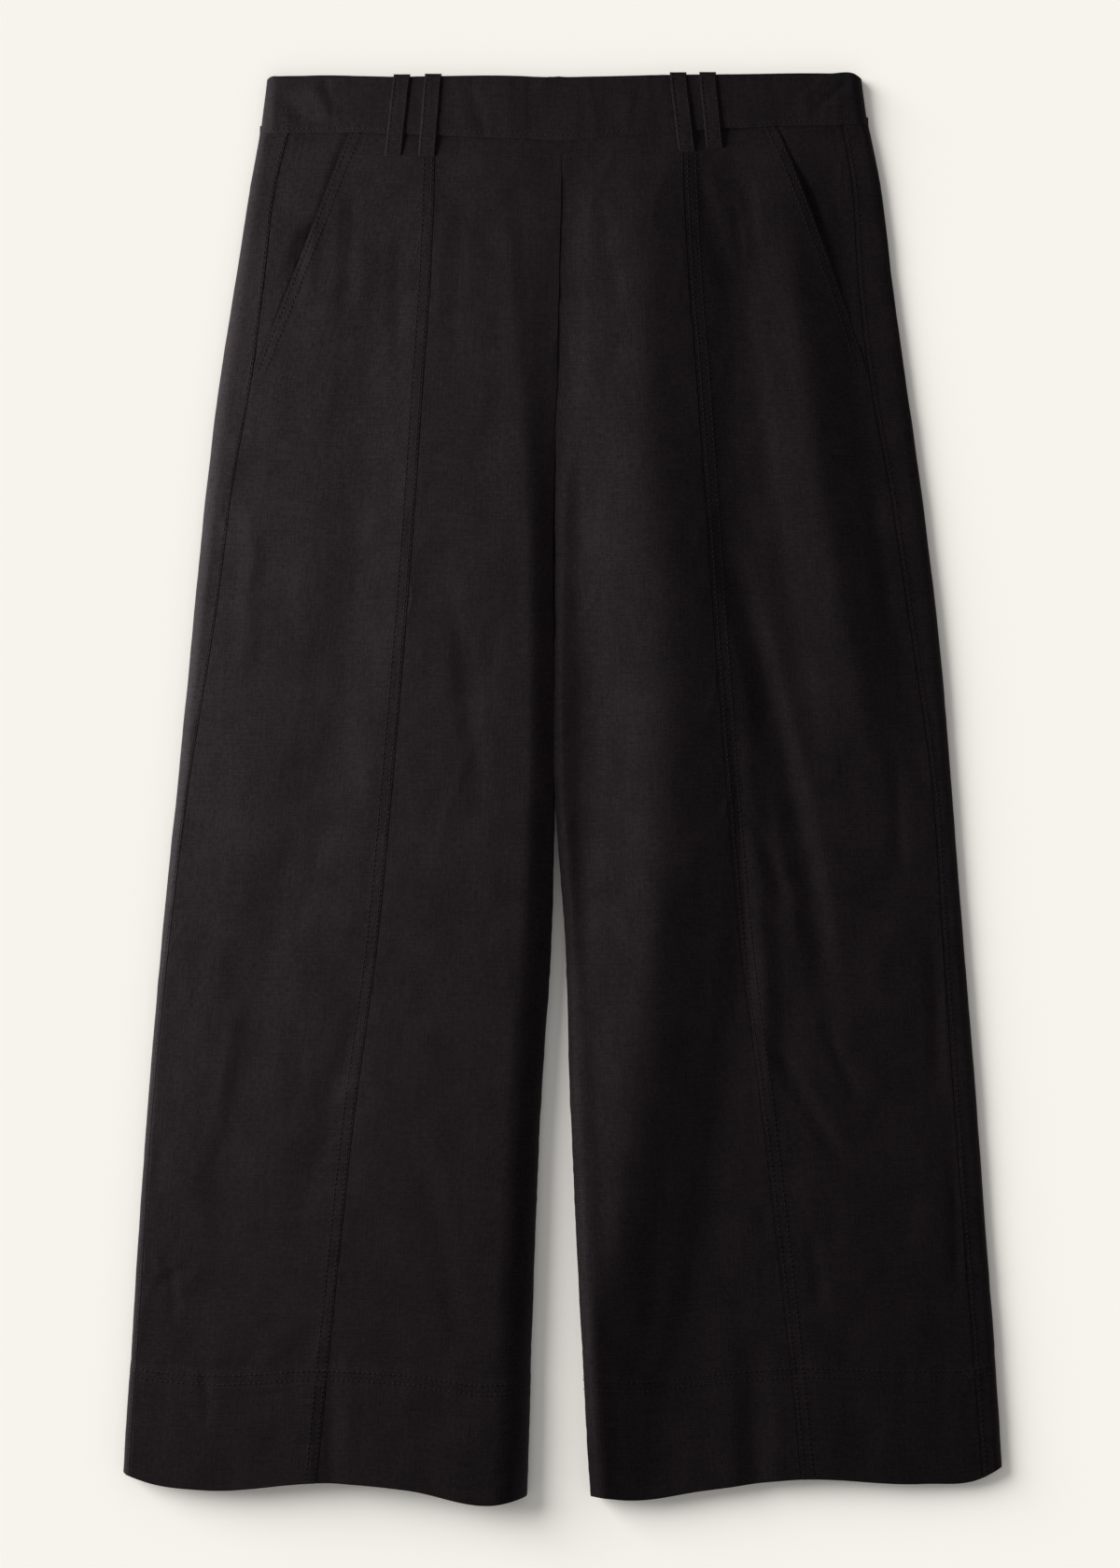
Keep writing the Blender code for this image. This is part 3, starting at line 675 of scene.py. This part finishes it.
def stitched(name, lines, tree, pitch, length):
    """A mesh of stitches along lines of points, all in millimetres."""
    curve = bpy.data.curves.new(name, "CURVE")
    curve.dimensions = "3D"
    for line in lines:
        spline = curve.splines.new("POLY")
        spline.points.add(len(line) - 1)
        flat = np.concatenate((np.array(line) * MM, np.ones((len(line), 1))), axis=1)
        spline.points.foreach_set("co", flat.reshape(-1))
    guide = placed(name + "_lines", curve)
    made = guide.modifiers.new("Stitches", "NODES")
    made.node_group = tree
    sizes = {"Pitch": pitch * MM, "Length": length * MM, "Thread": THREAD * MM}
    for item in tree.interface.items_tree:
        if item.in_out == "INPUT" and item.name in sizes:
            made[item.identifier] = sizes[item.name]
    graph = bpy.context.evaluated_depsgraph_get()
    mesh = bpy.data.meshes.new_from_object(guide.evaluated_get(graph), depsgraph=graph)
    mesh.name = name
    bpy.data.objects.remove(guide)
    return placed(name, mesh)


def line_at(points, measure, value, lift, skip):
    """The line where measure passes value in each row of a grid but the top ones, as many as skip says."""
    line = []
    for row in range(skip, len(points)):
        run = measure[row]
        order = np.argsort(run)
        line.append([np.interp(value, run[order], points[row, order, axis]) for axis in range(3)])
    return np.array(line) + lift


# --- The legs -----------------------------------------------------------------------------------------------

# Rows of the turned-up hem, measured from its fold
TURN_DISTANCES = (1.5, 3.0, 5.0, 8.0, *np.arange(12.0, HEM_TURN - 4.0, 5.0), 68.0, 70.0, HEM_TURN)
HEM_LAYERS = 1.3  # from the outer face of a hem to the layer inside


def hem_marks(side, d):
    """The turned-up hem as it shows outside: a little thicker, with a trough at each row of stitches."""
    up = HEM_D - d
    thick = 0.25 * ease((HEM_TURN + 1.0 - up) / 2.0)
    troughs = sum(0.14 * np.exp(-(((up - row) / 0.8) ** 2)) for row in HEM_ROWS)
    return (thick - troughs) * relief(side, d)


def hem_ripples(x, d):
    """Ripples across the hem's stitching."""
    up = HEM_D - d
    near = ease((HEM_TURN + 14.0 - up) / 14.0) * ease((up - HEM_TURN + 26.0) / 26.0)
    return near * 0.16 * noise(x / 5.5, d / 30.0, 9)


def band_dip(d):
    """How far a front dips where it meets the waistband."""
    return 0.4 * np.exp(-(d - BAND_DEPTH) / 1.2)


def finished(points, heights, facing):
    """The grid with small heights added on its outer face, and its outward normals. facing is 1 where the
    normals of the grid as it runs point outward, and -1 where they point inward."""
    moved = points + facing * normals_of(points) * heights[..., None]
    return moved, facing * normals_of(moved)


def front_side(side, linen):
    """The side panel of a front, from the pocket mouth and the side seam to the princess seam."""
    way = outward(side)
    d = stations(BAND_DEPTH, HEM_D)
    turn = edge_turn(side, d)
    outer = section(side, "outer", d)
    is_mouth = ease((POCKET_END_D - d) / 3.0)
    edge = np.where(d < POCKET_END_D, mouth_x(side, d), section(side, "seam", d))
    princess = section(side, "princess", d)
    start = girth_at(np.abs(edge - outer), turn)
    end = girth_at(np.abs(princess - outer), turn)
    girth = columns_between(start, end)
    x = outer - way * reach_at(girth, turn)
    lift = MOUTH_GAPE[side] * mouth_open(side, d) * ease(1.0 - np.abs(x - edge) / MOUTH_FADE)
    points = in_space(x, curved(side, d, x), front_z(side, d, x) + lift)
    from_edge = girth - start
    from_princess = end - girth
    heights = (
        crumple(x, d, CRUMPLE_SEEDS[side])
        + (seam_edge(from_princess, side) + stitched_down(from_princess, PRINCESS_ROWS)) * relief(side, d)
        + seam_edge(from_edge, across_from(side), 1.0 - is_mouth * (0.8 - 0.8 * mouth_open(side, d)))
        + stitched_down(from_edge, MOUTH_ROWS) * is_mouth
        + pucker(d, from_princess, 3) + pucker(d, from_edge, 5)
        + hem_marks(side, d) + hem_ripples(x, d) - band_dip(d)
    )
    points, normal = finished(points, heights, -way)
    # The cloth at the mouth folds under; below the mouth only a narrow lip rolls into the seam.
    under = points[:, :1] - normal[:, :1] * LAYER * np.array((0.5, 1.0))[None, :, None]
    tucked = []
    for reach in MOUTH_TUCKED:
        column = int(np.searchsorted(FINE_STEPS, reach))
        place = points[:, column] - normal[:, column] * LAYER
        tucked.append(under[:, -1] + (place - under[:, -1]) * is_mouth)
    tuck = np.stack(tucked[::-1], axis=1)
    grid = np.concatenate((tuck, under[:, ::-1], points), axis=1)
    normal = np.concatenate((normal[:, :1].repeat(grid.shape[1] - normal.shape[1], axis=1), normal), axis=1)
    full = set_in(turned_rows(grid, normal, TURN_DISTANCES, HEM_LAYERS))
    piece = cloth(f"front_side_{side}_cloth", full, linen, side == "left")
    at_mouth = np.flatnonzero(d[:, 0] < POCKET_END_D - 4.0)
    by_mouth, reach = points[at_mouth], from_edge[at_mouth]
    lines = {
        "princess": [line_at(points, from_princess, row, OFF_RIDGE, 4) for row in PRINCESS_ROWS],
        "mouths": [line_at(by_mouth, reach, row, OFF_RIDGE, 2) for row in MOUTH_ROWS],
        "hems": hem_lines(points, d),
    }
    return piece, full, lines


def hem_lines(points, d):
    """Lines across a panel at the rows of hem stitches."""
    return [points[np.argmin(np.abs(HEM_D - d[:, 0] - up))] + OFF_CLOTH for up in HEM_ROWS]


def front_centre(side, linen):
    """The centre panel of a front, from the princess seam to the centre-front seam and the inseam."""
    way = outward(side)
    d = stations(BAND_DEPTH, HEM_D)
    turn = section(side, "inner_round", d)
    inner = section(side, "inner", d)
    princess = section(side, "princess", d)
    end = girth_at(np.abs(princess - inner), turn)
    girth = columns_between(end, 0.0 * d)
    x = inner + way * reach_at(girth, turn)
    points = in_space(x, curved(side, d, x), front_z(side, d, x))
    from_princess = end - girth
    heights = (
        crumple(x, d, CRUMPLE_SEEDS[side])
        + seam_edge(from_princess, across_from(side), relief(side, d)) + seam_edge(girth, side, 0.6)
        + pucker(d, from_princess, 3) + pucker(d, girth, 7)
        + hem_marks(side, d) + hem_ripples(x, d) - band_dip(d)
    )
    points, normal = finished(points, heights, -way)
    full = set_in(turned_rows(points, normal, TURN_DISTANCES, HEM_LAYERS))
    piece = cloth(f"front_centre_{side}_cloth", full, linen, side == "left")
    return piece, full, {"hems": hem_lines(points, d)}


def back_panel(side, linen):
    """A back panel, from the side seam on the front, round the outer edge and under the leg to the inseam."""
    way = outward(side)
    d = stations(BAND_DEPTH, HEM_D)
    turn = edge_turn(side, d)
    outer = section(side, "outer", d)
    inner = section(side, "inner", d)
    equator = equator_z(side, d)
    over = girth_at(np.abs(section(side, "seam", d) - outer), turn)
    quarter = math.pi / 2 * (UNDER_ROUND + equator) / 2.0
    flat = np.abs(inner - outer) - 2.0 * UNDER_ROUND
    risen = ease((d - BACK_RISE_D[0]) / (BACK_RISE_D[1] - BACK_RISE_D[0]))
    total = over + quarter + flat + quarter
    place = columns_between(0.0 * d, total)
    x_over = outer - way * reach_at(np.clip(over - place, 0.0, None), turn)
    z_over = front_z(side, d, x_over)
    angle = np.clip((place - over) / quarter, 0.0, 1.0) * math.pi / 2
    x_under = outer - way * UNDER_ROUND * (1.0 - np.cos(angle))
    z_under = equator * (1.0 - np.sin(angle))
    on = np.clip(place - over - quarter, 0.0, flat)
    x_flat = outer - way * (UNDER_ROUND + on)
    rise_angle = np.clip((place - over - quarter - flat) / quarter, 0.0, 1.0) * math.pi / 2
    x_in = inner + way * UNDER_ROUND * (1.0 - np.sin(rise_angle))
    z_in = front_z(side, d, inner) * risen * (1.0 - np.cos(rise_angle))
    x = np.where(place < over, x_over, np.where(place < over + quarter, x_under, x_flat))
    z = np.where(place < over, z_over, np.where(place < over + quarter, z_under, 0.0))
    ended = place > over + quarter + flat
    x = np.where(ended, x_in, x)
    z = np.where(ended, z_in, z)
    points = in_space(x, curved(side, d, x), z)
    below = ease((place - over) / 12.0)
    heights = (
        crumple(x, d, CRUMPLE_SEEDS[side]) * (1.0 - 0.45 * below) - 0.35 * below
        + seam_edge(place, side, 1.6) + stitched_down(place, SIDE_ROWS)
        + pucker(d, place, 5) + pucker(d, total - place, 7)
        + seam_edge(total - place, side)
        + hem_marks(side, d) * (1.0 - 0.6 * below) + hem_ripples(x, d) * (1.0 - below)
    )
    points, normal = finished(points, heights, way)
    points[..., 2] = np.maximum(points[..., 2], FLOOR_GAP)
    full = set_in(turned_rows(points, normal, TURN_DISTANCES, HEM_LAYERS))
    piece = cloth(f"back_{side}_cloth", full, linen, side == "right")
    side_lines = [line_at(points, place, row, OFF_CLOTH, 4) for row in SIDE_ROWS]
    return piece, full, {"sides": side_lines, "hems": hem_lines(points, d)}


def pocket_facing(side, linen):
    """The hip piece inside a pocket mouth, from the side seam to a strip under the side panel."""
    way = outward(side)
    d = stations(BAND_DEPTH, POCKET_END_D - 2.0)
    seam = section(side, "seam", d)
    edge = mouth_x(side, d)
    x = columns_between(seam, edge - way * FACING_UNDER, fine_end=False)
    from_mouth = np.abs(x - seam) - np.abs(edge - seam)
    hollow = np.minimum(MOUTH_HOLLOW, np.abs(edge - seam))
    sink = MOUTH_SINK[side] * mouth_open(side, d) * ease(1.0 + from_mouth / hollow)
    below = FACING_LEVEL + (FACING_BELOW - FACING_LEVEL) * ease((from_mouth - 0.1) / 2.0)
    z = front_z(side, d, x) - below - sink
    points = in_space(x, curved(side, d, x), z)
    edge_roll = seam_edge(np.abs(x - seam), across_from(side), 0.5)
    heights = crumple(x, d, CRUMPLE_SEEDS[side]) + edge_roll - band_dip(d)
    points, _ = finished(points, heights, -way)
    points = set_in(points)
    piece = cloth(f"pocket_facing_{side}_cloth", points, linen, side == "left")
    return piece, points


# --- The waistband ------------------------------------------------------------------------------------------

BAND_TURN_DISTANCES = (3.0, 8.0, 14.0, 20.0, 27.0)  # rows of its inner layer, measured from the top fold
FRONT_INSET = 1.4  # from its outer face to the layer inside, at the front
BACK_INSET = 1.6  # and at the back
BAND_CREASED_Z = 6.0  # above this height its front is creased
BAND_STITCHED_Z = 7.8  # and above this one it is stitched


def band_z(x):
    """Height of the front waistband's face between its rounded ends."""
    sides, middle = BAND_Z
    return middle + (sides - middle) * (x / BAND_SIDES["right"][1]) ** 2


def band_end(side, down):
    """One end of the front waistband, from where it stops below to where its face is flat."""
    way = outward(side)
    top, seam = BAND_SIDES[side]
    edge = top + (seam - top) * down
    turn_under = np.linspace(math.pi / 2, 0.0, 7)[None, :]
    turn_over = np.linspace(0.0, math.pi / 2, 12)[None, 1:]
    tail_x = edge - way * np.linspace(BAND_TURN_UNDER, BAND_UNDER_ROUND + 1.5, 9)[None, :]
    under_x = edge - way * BAND_UNDER_ROUND * (1.0 - np.cos(turn_under))
    under_z = BAND_EQUATOR_Z * (1.0 - np.sin(turn_under)) + 0.0 * edge
    over_x = edge - way * BAND_ROUND * (1.0 - np.cos(turn_over))
    over_z = BAND_EQUATOR_Z + (band_z(over_x) - BAND_EQUATOR_Z) * np.sin(turn_over)
    x = np.concatenate((tail_x, under_x, over_x), axis=1)
    z = np.concatenate((0.0 * tail_x, under_z, over_z), axis=1)
    return x, z


def waistband_front(linen):
    """The flat front of the waistband: one strip folded along its top edge, its ends turned under."""
    down = np.linspace(1.0, 0.0, 25)[:, None]
    left_x, left_z = band_end("left", down)
    right_x, right_z = band_end("right", down)
    share = np.linspace(0.0, 1.0, 190)[None, 1:-1]
    middle_x = left_x[:, -1:] + (right_x[:, -1:] - left_x[:, -1:]) * share
    x = np.concatenate((left_x, middle_x, right_x[:, ::-1]), axis=1)
    z = np.concatenate((left_z, band_z(middle_x), right_z[:, ::-1]), axis=1)
    z = z + fold_rise(BAND_CREASES, BAND_DEPTH * down, x) * (z > BAND_CREASED_Z)
    top_d = read_curve(BAND_TOP_EDGE, 1, x)
    seam_d = read_curve(BAND_SEAM_EDGE, 1, x)
    d = top_d + (seam_d - top_d) * down
    points = in_space(x, d, z)
    from_seam = seam_d - d
    heights = (
        0.35 * crumple(x * 1.7, d * 1.7, 90) + seam_edge(from_seam, "left")
        - 0.14 * np.exp(-(((from_seam - 2.8) / 0.7) ** 2)) + 0.5 * pucker(x, from_seam, 13)
        + 0.12 * noise(x / 4.0, d / 30.0, 15)
    )
    points = points - normals_of(points) * heights[..., None]
    points[..., 2] = np.maximum(points[..., 2], FLOOR_GAP)
    normal = -normals_of(points)
    full = turned_rows(points, normal, BAND_TURN_DISTANCES, FRONT_INSET)
    piece = cloth("waistband_front_cloth", full, linen, False)
    line = points[2][points[2][:, 2] > BAND_STITCHED_Z]
    return piece, full, [line + OFF_CLOTH]


def waistband_back(linen):
    """The elasticated back of the waistband, a strip folded along its top edge and gathered on elastic."""
    left = BAND_SIDES["left"][0] + BAND_TURN_UNDER + 0.5
    right = BAND_SIDES["right"][0] - BAND_TURN_UNDER - 0.5
    x = np.linspace(left, right, 420)[None, :]
    down = np.linspace(1.0, 0.0, 17)[:, None]
    top_d = 1.6 - 1.7 * ease(1.0 - (np.abs(x + 5.0) - 26.0) / 26.0) + 0.4 * noise(x / 2.6, 0.5, 35)
    seam_d = read_curve(BAND_SEAM_EDGE, 1, x)
    d = top_d + (seam_d - top_d) * down
    sway = 2.0 * noise(x / 30.0, d / 30.0, 31)
    gathers = np.cos(2.0 * math.pi * (x + sway) / GATHER_PITCH) + 0.6 * noise(x / 4.0, d / 26.0, 33)
    rows = -0.5 * sum(np.exp(-(((down - at) / 0.03) ** 2)) for at in ELASTIC_ROWS)
    z = 1.0 + 0.6 * gathers + rows
    points = in_space(x, d, np.maximum(z, FLOOR_GAP))
    normal = normals_of(points)
    full = turned_rows(points, normal, BAND_TURN_DISTANCES, BACK_INSET)
    piece = cloth("waistband_back_cloth", full, linen, True)
    return piece, full


def belt_loop(name, top_x, bottom_x, bottom_d, side, linen):
    """A narrow strip, folded in three, from the top edge of the waistband to just below its seam."""
    seat = LOOP_THICKNESS / 2.0 + 0.1
    panel = front_z(side, np.array(bottom_d), np.array(bottom_x)).item() + seat
    face = band_z(top_x) + seat
    crest = read_curve(BAND_TOP_EDGE, 1, top_x).item() - LOOP_STANDS
    # Its middle line, d and height, from behind the waistband's top edge over the front and down
    path = np.array((
        (crest + 0.5, face - 3.0),
        (crest - 0.2, face - 1.4),
        (crest + 0.2, face - 0.5),
        (crest + 1.2, face + 0.1),
        (crest + 5.0, face + LOOP_BOW * 0.6),
        (15.0, face + LOOP_BOW),
        (28.0, face + LOOP_BOW * 0.8),
        (BAND_DEPTH, max(face, panel) + 0.15),
        (bottom_d - 5.0, panel + 0.1),
        (bottom_d - 1.0, panel),
        (bottom_d, panel - 0.1),
        (bottom_d - 0.4, panel - 0.5),
    ))
    run = np.concatenate(((0.0,), np.cumsum(np.hypot(*np.diff(path, axis=0).T))))
    at = np.linspace(0.0, run[-1], 60)
    d = np.interp(at, run, path[:, 0])
    z = np.interp(at, run, path[:, 1])
    soft = np.convolve(np.pad(z, 2, mode="edge"), np.ones(5) / 5.0, mode="valid")
    z = soft[:, None]
    d = d[:, None]
    # Half the loop's outline, from the middle of its back to the middle of its face
    round_x = np.array((0.0, 0.55, 0.94, 0.99, 1.0, 0.995, 0.97, 0.8, 0.66, 0.5, 0.25, 0.0))
    round_z = np.array((-1.0, -1.0, -0.95, -0.6, 0.0, 0.6, 0.95, 0.85, 1.0, 1.0, 1.0, 1.0))
    out_x = np.concatenate((-round_x, round_x[::-1][1:]))[None, :]
    out_z = np.concatenate((round_z, round_z[::-1][1:]))[None, :]
    middle = top_x + (bottom_x - top_x) * np.clip(d / bottom_d, 0.0, 1.0)
    x = middle + LOOP_WIDTH / 2.0 * out_x + 0.12 * noise(d / 9.0, out_x, 44)
    points = in_space(x, d + 0.0 * x, z + LOOP_THICKNESS / 2.0 * out_z + 0.06 * noise(x / 3.0, d / 6.0, 45))
    piece = cloth(name + "_cloth", points, linen, True)
    lines = [points[LOOP_ENDS:-LOOP_ENDS, column] + OFF_CLOTH for column in LOOP_STITCHED]
    tack_x = middle[-LOOP_ENDS, 0]
    tack_z = (points[-LOOP_ENDS, points.shape[1] // 2] + OFF_CLOTH)[2]
    tack = [
        [(tack_x + end, WAIST_Y - bottom_d + up, tack_z) for end in (-TACK_REACH, TACK_REACH)]
        for up in TACK_ROWS
    ]
    return piece, points, lines, tack


# --- Light, ground and camera, in metres --------------------------------------------------------------------

GROUND_REACH = 12.0
GROUND_Z = -0.0003  # just clear of the cloth
SUNS = (  # strength, width of the sun, tilt from straight above and direction, in degrees
    ("ground_key", 5.3, 40.0, 66.0, 208.0),
    ("ground_fill", 1.1, 160.0, 8.0, 208.0),
)
PANEL_LIGHTS = (  # watts, side and place, all facing the middle of the garment
    ("cloth_key", 20.4, 0.4, (-0.92, 0.26, 0.24)),
    ("cloth_rim", 1.6, 0.5, (1.1, 0.1, 0.5)),
)
WORLD_STRENGTH = 0.12
CAMERA_AT = (-0.0017, 0.0027, 2.402)
CAMERA_LENS = 90.0  # millimetres, on a sensor 36 mm long


def make_stage(cloth_pieces):
    """A plain pale ground, soft light from the upper left and a camera straight above."""
    mesh = bpy.data.meshes.new("ground")
    corners = ((-1, -1), (1, -1), (1, 1), (-1, 1))
    mesh.from_pydata([(GROUND_REACH * x, GROUND_REACH * y, GROUND_Z) for x, y in corners], [], [(0, 1, 2, 3)])
    mesh.materials.append(plain_material("paper_white", "E8E5DF", 1.0, 0.0))
    ground = placed("ground", mesh)
    on_ground = bpy.data.collections.new("ground_only")
    on_ground.objects.link(ground)
    on_cloth = bpy.data.collections.new("cloth_only")
    for piece in cloth_pieces:
        on_cloth.objects.link(piece)
    # The ground is lit evenly, with most of the light low from the upper left; the cloth has a near, low key
    # on the same side, so that it fades across the garment.
    for name, energy, width, tilt, turn in SUNS:
        sun = bpy.data.lights.new(name, "SUN")
        sun.energy = energy
        sun.angle = math.radians(width)
        lamp = placed(name, sun)
        towards = Vector((
            math.sin(math.radians(tilt)) * -math.cos(math.radians(turn - 180.0)),
            math.sin(math.radians(tilt)) * math.sin(math.radians(turn - 180.0)),
            math.cos(math.radians(tilt)),
        ))
        lamp.rotation_euler = towards.to_track_quat("Z", "Y").to_euler()
        lamp.light_linking.receiver_collection = on_ground
    for name, energy, size, place in PANEL_LIGHTS:
        panel = bpy.data.lights.new(name, "AREA")
        panel.size = size
        panel.energy = energy
        lamp = placed(name, panel)
        lamp.location = place
        lamp.rotation_euler = Vector(place).to_track_quat("Z", "Y").to_euler()
        lamp.light_linking.receiver_collection = on_cloth
    world = bpy.data.worlds.new("studio")
    world.use_nodes = True
    sky = world.node_tree.nodes["Background"]
    sky.inputs["Color"].default_value = (1.0, 0.99, 0.97, 1.0)
    sky.inputs["Strength"].default_value = WORLD_STRENGTH
    bpy.context.scene.world = world
    lens = bpy.data.cameras.new("camera")
    lens.lens = CAMERA_LENS
    lens.sensor_width = 36.0
    camera = placed("camera", lens)
    camera.location = CAMERA_AT
    bpy.context.scene.camera = camera
    bpy.context.scene.view_settings.view_transform = "Standard"


def declare(piece, node):
    """Parents a piece of cloth to the root body and hides the CAD part that it stands for."""
    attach(piece, "root")
    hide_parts(node)


def main():
    linen = linen_material("linen_black_washed", "130F11", "272023")
    # Topstitch thread, which its tight twist makes a little glossier than the linen
    tree = stitch_tree(plain_material("thread_black", "211C1E", 0.7, 0.25))
    topstitching = {name: [] for name in ("princess", "mouths", "hems", "sides", "band", "loops")}
    sheets = []
    for side in SECTIONS:
        for make, stem in ((back_panel, "back"), (front_centre, "front_centre"), (front_side, "front_side")):
            piece, full, lines = make(side, linen)
            sheets.append((piece, f"{stem}_{side}", "linen_panels", full))
            for key, found in lines.items():
                topstitching[key] += found
        piece, full = pocket_facing(side, linen)
        sheets.append((piece, f"pocket_facing_{side}", "linen_facings", full))
    piece, full, topstitching["band"] = waistband_front(linen)
    sheets.append((piece, "waistband_front", "linen_waistband", full))
    piece, full = waistband_back(linen)
    sheets.append((piece, "waistband_back", "linen_over_elastic", full))
    tacks = []
    for number, row in enumerate(BELT_LOOPS, start=1):
        piece, full, lines, tack = belt_loop(f"belt_loop_{number}", *row, linen)
        sheets.append((piece, f"belt_loop_{number}", "linen_loops", full))
        topstitching["loops"] += lines
        tacks += tack
    stitches = [
        stitched(f"topstitch_{name}", lines, tree, STITCH_PITCH, STITCH_LENGTH)
        for name, lines in topstitching.items()
    ]
    stitches.append(stitched("bar_tacks", tacks, tree, TACK_PITCH, TACK_LENGTH))
    for piece in stitches:
        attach(piece, "root")
    make_stage([row[0] for row in sheets] + stitches)
    for piece, node, slot, full in sheets:
        declare(piece, node)


main()
